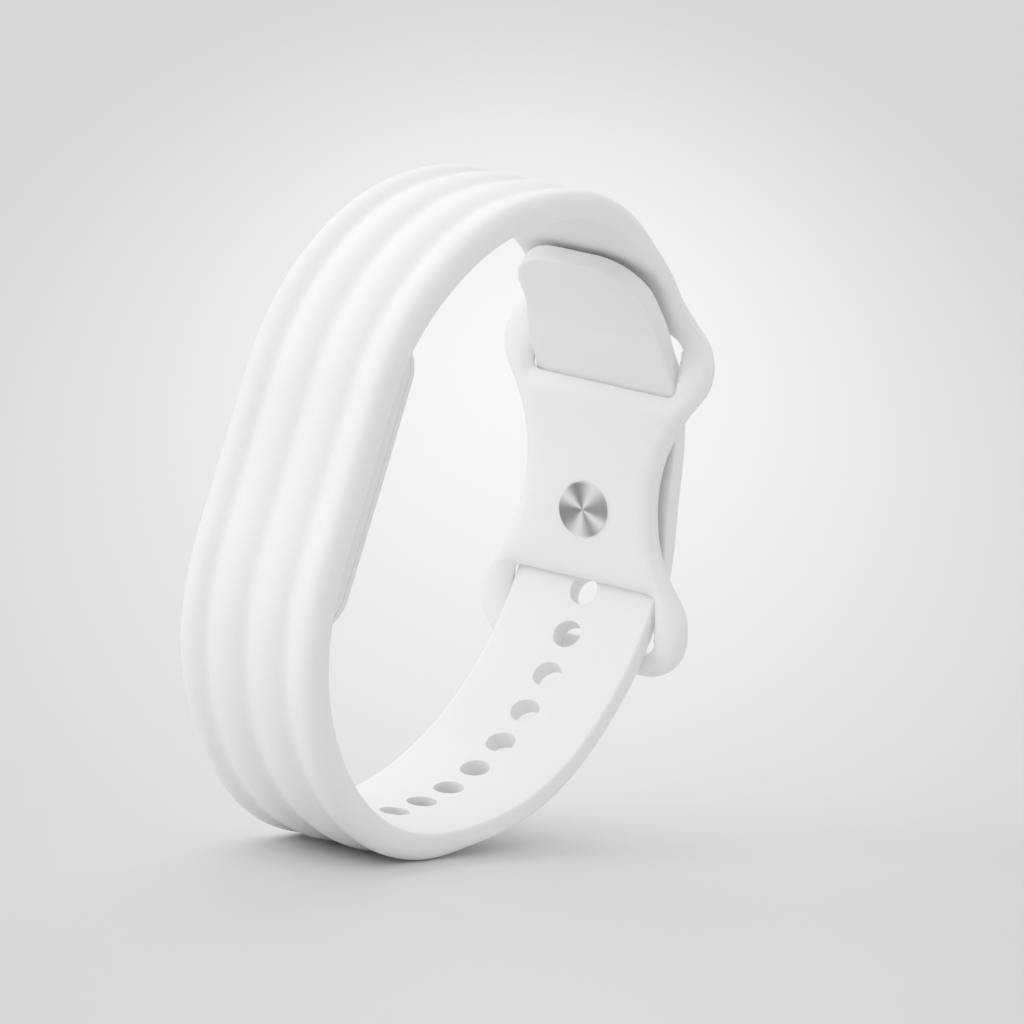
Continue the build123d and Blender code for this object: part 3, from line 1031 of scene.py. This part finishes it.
def make_collar(sizes):
    """The low ring on the plate's outer face that keeps the tail off the plate round the shank."""
    height = sizes.collar_height / MM
    deselect_all()
    bpy.ops.mesh.primitive_cylinder_add(
        vertices=48, radius=COLLAR_RADIUS, depth=height + COLLAR_SUNK,
        location=(0, 0, HALF_CORE + (height - COLLAR_SUNK) / 2),
    )
    collar = added("stud_collar")
    apply_place(collar)
    edit_selection(
        collar,
        lambda: bpy.ops.mesh.inset(thickness=COLLAR_RADIUS - SHANK_RADIUS - SHANK_CLEARANCE),
        faces=lambda face: abs(face.normal.z) > 0.9,
    )
    edit_selection(
        collar,
        lambda: bpy.ops.mesh.bridge_edge_loops(),
        faces=lambda face: abs(face.normal.z) > 0.9 and face.center.to_2d().length < 0.1,
    )
    round_edges(collar, COLLAR_ROUND, 2, 60)
    return finish_shape(collar, stud_matrix() @ Matrix.Scale(MM, 4))


# ---------------------------------------------------------------- stage

# The view: from the left front, a little above, with the camera leaning to one side.
VIEW_AZIMUTH = -59.42
VIEW_ELEVATION = 8.45
VIEW_ROLL = -8.29
VIEW_DISTANCE = 986.5
VIEW_AIM = Vector((13.493, 0.2, 30.12 + CREST))
FOCAL_LENGTH = 352.87
SENSOR_WIDTH = 36
# The pool of light painted on the floor: its middle and its reach along and across the view, in
# metres.
PAINTED_POOL_CENTRE = (0.32, 0.18, 0)
PAINTED_POOL_SIZE = (0.6, 0.09, 1)
# The soft lamps: where each stands, in metres, and how wide it is seen, in degrees.
LAMPS = {
    "key": ((-0.7, 0.6, 0.1), 60),
    "front": ((-0.9, 0.3, 0.45), 60),
    "top": ((0, 0.7, 0.9), 40),
    "back": ((0.8, 0.5, 0.9), 40),
}
LAMPS_AIM = Vector((0, 0, 0.03))
FLOOR_SIZE = 8


def make_camera():
    azimuth, elevation, roll = (radians(v) for v in (VIEW_AZIMUTH, VIEW_ELEVATION, VIEW_ROLL))
    back = Vector((sin(azimuth) * cos(elevation), -cos(azimuth) * cos(elevation), sin(elevation)))
    ahead = -back
    right = ahead.cross(Vector((0, 0, 1))).normalized()
    down = ahead.cross(right)
    rolled_right = right * cos(roll) + down * sin(roll)
    rolled_down = down * cos(roll) - right * sin(roll)
    data = bpy.data.cameras.new("camera")
    data.lens = FOCAL_LENGTH
    data.sensor_width = SENSOR_WIDTH
    data.clip_start = 0.05
    data.clip_end = 20
    camera = bpy.data.objects.new("camera", data)
    bpy.context.scene.collection.objects.link(camera)
    turn = Matrix((rolled_right, -rolled_down, back)).transposed().to_4x4()
    camera.matrix_world = Matrix.Translation((VIEW_AIM + back * VIEW_DISTANCE) * MM) @ turn
    bpy.context.scene.camera = camera


def add_lamp(name, place, softness, power):
    data = bpy.data.lights.new(name, "SUN")
    data.angle = radians(softness)
    data.energy = power
    lamp = bpy.data.objects.new(name, data)
    lamp.location = place
    lamp.rotation_euler = (LAMPS_AIM - lamp.location).to_track_quat("-Z", "Y").to_euler()
    bpy.context.scene.collection.objects.link(lamp)


def make_stage(sizes):
    make_camera()
    world = bpy.data.worlds.new("studio")
    bpy.context.scene.world = world
    world.use_nodes = True
    room = world.node_tree.nodes["Background"]
    set_inputs(room, Color=(1, 1, 1, 1), Strength=sizes.room_strength)
    for name, (place, softness) in LAMPS.items():
        add_lamp(name, place, softness, getattr(sizes, name + "_strength"))
    deselect_all()
    bpy.ops.mesh.primitive_plane_add(size=FLOOR_SIZE)
    floor = added("floor")
    floor.data.materials.append(studio_floor(sizes.painted_pool_middle, sizes.painted_pool_edge))
    bpy.context.scene.view_settings.view_transform = "Standard"


# ---------------------------------------------------------------- operators and panel

class PINHOLDER_OT_strap(Operator):
    """Mould the ribbed strap with its clasp plate, holes and tip"""
    bl_idname = "pin_holder.strap"
    bl_label = "Strap"

    def execute(self, context):
        sizes = context.scene.pin_holder_strap
        strap = make_strap(sizes)
        dress(strap, moulded_silicone(sizes.colour), "band", "silicone", "strap")
        return {"FINISHED"}


class PINHOLDER_OT_saddle(Operator):
    """Mould the flat seat on the inside of the band, with the pocket for the pod"""
    bl_idname = "pin_holder.saddle"
    bl_label = "Pod Seat"

    def execute(self, context):
        sizes = context.scene.pin_holder_strap
        dress(make_saddle(), moulded_silicone(sizes.colour), "band", "silicone")
        return {"FINISHED"}


class PINHOLDER_OT_pod(Operator):
    """Mould the pod's case, the boss that plugs into the seat, and the cover"""
    bl_idname = "pin_holder.pod"
    bl_label = "Pod"

    def execute(self, context):
        sizes = context.scene.pin_holder_pod
        plastic = moulded_abs(sizes.colour)
        case, boss, cover = make_pod(sizes)
        dress(case, plastic, "pod", "pod_plastic", "pod_case")
        dress(boss, plastic, "pod", "pod_plastic", "pod_case")
        dress(cover, plastic, "pod", "pod_plastic", "pod_cover")
        return {"FINISHED"}


class PINHOLDER_OT_magnets(Operator):
    """Plate the three disc magnets inside the pod"""
    bl_idname = "pin_holder.magnets"
    bl_label = "Magnets"

    def execute(self, context):
        plating = nickel_plate(context.scene.pin_holder_stud.magnet_colour)
        for name in ("magnet_1", "magnet_2", "magnet_3"):
            finish_node(name, plating)
        return {"FINISHED"}


class PINHOLDER_OT_stud(Operator):
    """Face the steel stud and its button, and mould the collar round the shank"""
    bl_idname = "pin_holder.stud"
    bl_label = "Stud"

    def execute(self, context):
        sizes = context.scene.pin_holder_stud
        steel = spun_steel(sizes.ring_spacing)
        for name in ("stud_pin", "stud_button"):
            finish_node(name, steel)
        silicone = moulded_silicone(context.scene.pin_holder_strap.colour)
        dress(make_collar(sizes), silicone, "band", "silicone")
        return {"FINISHED"}


class PINHOLDER_OT_stage(Operator):
    """Set up the floor, the lamps and the camera"""
    bl_idname = "pin_holder.stage"
    bl_label = "Stage"

    def execute(self, context):
        make_stage(context.scene.pin_holder_stage)
        return {"FINISHED"}


STEPS = {
    "pin_holder.stage": "pin_holder_stage",
    "pin_holder.strap": "pin_holder_strap",
    "pin_holder.saddle": None,
    "pin_holder.pod": "pin_holder_pod",
    "pin_holder.magnets": None,
    "pin_holder.stud": "pin_holder_stud",
}


class PINHOLDER_PT_panel(Panel):
    bl_label = "Wrist Pin Holder"
    bl_idname = "PINHOLDER_PT_panel"
    bl_space_type = "VIEW_3D"
    bl_region_type = "UI"
    bl_category = "Pin Holder"

    def draw(self, context):
        for step, group in STEPS.items():
            box = self.layout.box()
            box.operator(step)
            if group:
                sizes = getattr(context.scene, group)
                for name in sizes.__annotations__:
                    box.prop(sizes, name)


GROUPS = {
    "pin_holder_strap": PINHOLDER_PG_strap,
    "pin_holder_pod": PINHOLDER_PG_pod,
    "pin_holder_stud": PINHOLDER_PG_stud,
    "pin_holder_stage": PINHOLDER_PG_stage,
}
CLASSES = (
    *GROUPS.values(), PINHOLDER_OT_stage, PINHOLDER_OT_strap, PINHOLDER_OT_saddle,
    PINHOLDER_OT_pod, PINHOLDER_OT_magnets, PINHOLDER_OT_stud, PINHOLDER_PT_panel,
)


def register():
    for item in CLASSES:
        bpy.utils.register_class(item)
    for name, group in GROUPS.items():
        setattr(bpy.types.Scene, name, PointerProperty(type=group))


def unregister():
    for name in GROUPS:
        delattr(bpy.types.Scene, name)
    for item in reversed(CLASSES):
        bpy.utils.unregister_class(item)


def main():
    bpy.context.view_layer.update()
    register()
    bpy.ops.pin_holder.stage()
    bpy.ops.pin_holder.strap()
    bpy.ops.pin_holder.saddle()
    bpy.ops.pin_holder.pod()
    bpy.ops.pin_holder.magnets()
    bpy.ops.pin_holder.stud()


if __name__ == "__main__":
    main()
